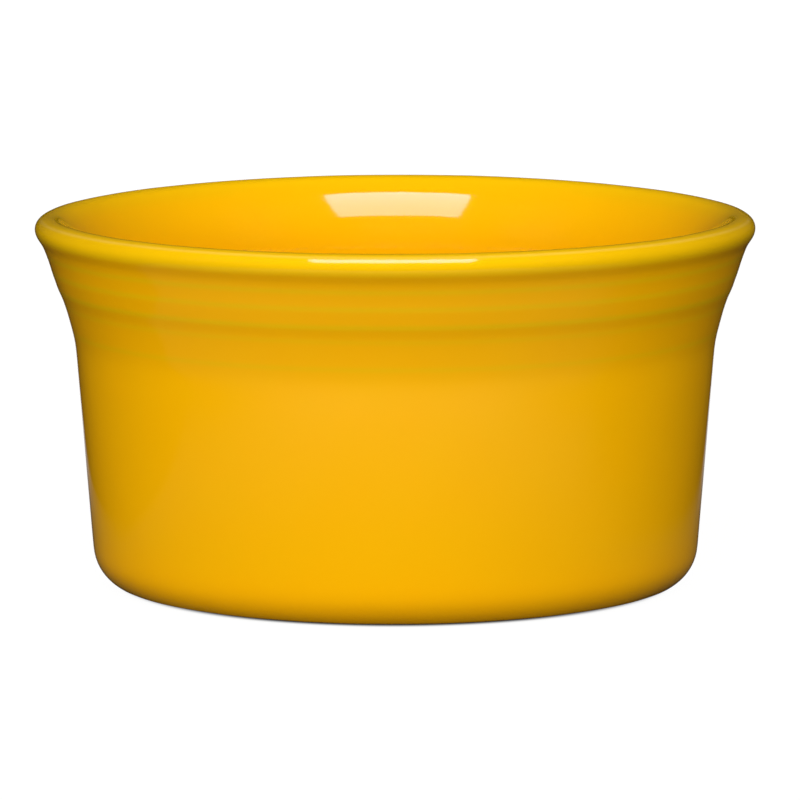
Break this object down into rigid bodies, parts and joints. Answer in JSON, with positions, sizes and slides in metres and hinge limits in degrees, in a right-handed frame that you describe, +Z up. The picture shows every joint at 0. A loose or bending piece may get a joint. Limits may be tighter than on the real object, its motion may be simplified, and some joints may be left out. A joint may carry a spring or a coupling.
{
  "type": "ramekin",
  "caption": "Round glazed ceramic ramekin with a flared mouth, turned rings under a rolled lip and a dry foot ring.",
  "frame": {"origin": "centre of the foot ring on the table plane", "axes": "+Z up along the bowl's axis of revolution; X and Y are alike"},
  "size_m": [0.1048, 0.1048, 0.054],
  "materials": {
    "fired_clay": "matt",
    "yellow_glaze": "gloss"
  },
  "bodies": {
    "root": {"ceramic_body": "fired_clay", "glaze_coat": "yellow_glaze", "underside_glaze": "yellow_glaze"}
  },
  "joints": []
}
